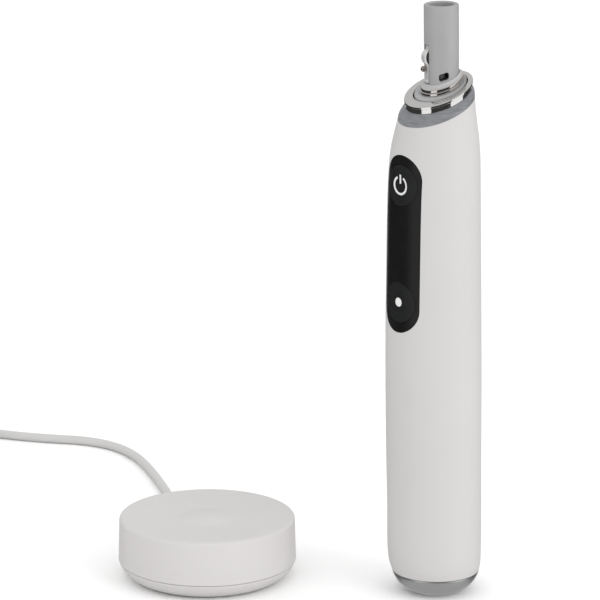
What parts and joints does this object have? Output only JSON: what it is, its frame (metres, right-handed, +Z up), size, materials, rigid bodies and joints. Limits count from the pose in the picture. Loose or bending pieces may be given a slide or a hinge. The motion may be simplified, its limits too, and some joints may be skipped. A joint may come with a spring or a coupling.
{
  "type": "electric toothbrush with charger",
  "caption": "Upright rechargeable toothbrush handle with a slanted top and open coupling sleeve, beside a round charging puck with its cord and plug.",
  "frame": {"origin": "on the floor, at the bottom centre of the box round the handle and the puck, without the cord", "axes": "+Z up, +X from the puck towards the handle, -Y towards the viewer"},
  "size_m": [0.2452, 0.1921, 0.1931],
  "materials": {
    "white_plastic": "smooth satin",
    "black_panel": "smooth, slightly glossy",
    "black_button": "satin",
    "ring_grey": "satin translucent",
    "chrome": "polished",
    "neck_grey": "satin",
    "plate_grey": "satin",
    "spring_steel": "satin",
    "cap_metal": "satin metallic",
    "seal_rubber": "matte",
    "foot_rubber": "matte",
    "copper_wire": "enamelled",
    "ferrite": "matte",
    "magnet": "plated",
    "board": "solder mask",
    "chips": "matte",
    "lamps": "clear",
    "chassis_plastic": "matte",
    "cell_wrap": "shrink sleeve",
    "steel": "turned",
    "cord_pvc": "satin",
    "tie": "soft",
    "plug_plastic": "satin",
    "pin_metal": "nickel plated"
  },
  "bodies": {
    "charger": {"charger_shell": "white_plastic", "charger_base": "white_plastic", "foot_ring": "foot_rubber", "primary_coil": "copper_wire", "pot_core": "ferrite", "charger_magnet": "magnet", "charger_board": "board", "strain_relief": "cord_pvc", "power_cord": "cord_pvc", "plug_lead": "cord_pvc", "cord_coil": "cord_pvc", "cord_tie": "tie", "plug_body": "plug_plastic", "plug_pins": "pin_metal"},
    "handle": {"handle_housing": "white_plastic", "control_panel": "black_panel", "light_ring": "ring_grey", "top_bezel": "chrome", "base_cap": "cap_metal", "base_seal": "seal_rubber", "receiver_coil": "copper_wire", "receiver_ferrite": "ferrite", "retention_disc": "spring_steel", "chassis": "chassis_plastic", "main_board": "board", "board_screws": "steel", "tact_switches": "chips", "display_module": "chips", "board_chips": "chips", "ring_lights": "lamps", "battery": "cell_wrap", "battery_tabs": "spring_steel"},
    "drive": {"neck_plate": "plate_grey", "neck_collar": "chrome", "coupling_sleeve": "neck_grey", "motor_case": "steel", "tilt_pins": "steel", "motor_coil": "copper_wire", "motor_end_cap": "chassis_plastic", "lower_spring": "spring_steel", "upper_spring": "spring_steel", "shaft_seal": "seal_rubber"},
    "shaft": {"drive_shaft": "steel", "shaft_magnet": "magnet", "armature_magnet": "magnet", "armature_yokes": "steel"},
    "latch": {"latch_spring": "spring_steel", "latch_pin": "chrome"},
    "power_key": {"power_button": "black_button"},
    "mode_key": {"mode_button": "black_button"}
  },
  "joints": [
    {"name": "handle_lift", "type": "slide", "parent": "charger", "child": "handle", "axis": [0, 0, 1], "range_m": [0, 0.06]},
    {"name": "neck_tilt", "type": "hinge", "parent": "handle", "child": "drive", "pos_m": [0.04535, -0.01261, 0.146], "axis": [-0.6428, 0.766, 0], "range_deg": [0, 0.6], "stiffness_Nm_per_rad": 25},
    {"name": "shaft_drive", "type": "slide", "parent": "drive", "child": "shaft", "axis": [-0.016, -0.0135, 0.9998], "range_m": [-0.0008, 0.0008], "stiffness_N_per_m": 4000},
    {"name": "latch_flex", "type": "hinge", "parent": "drive", "child": "latch", "pos_m": [0.04021, -0.01557, 0.16889], "axis": [-0.4848, 0.8746, 0.004], "range_deg": [0, 3], "stiffness_Nm_per_rad": 0.3},
    {"name": "power_press", "type": "slide", "parent": "handle", "child": "power_key", "axis": [0.766, 0.6428, 0], "range_m": [0, 0.0004], "stiffness_N_per_m": 3000},
    {"name": "mode_press", "type": "slide", "parent": "handle", "child": "mode_key", "axis": [0.766, 0.6428, 0], "range_m": [0, 0.0004], "stiffness_N_per_m": 3000}
  ]
}
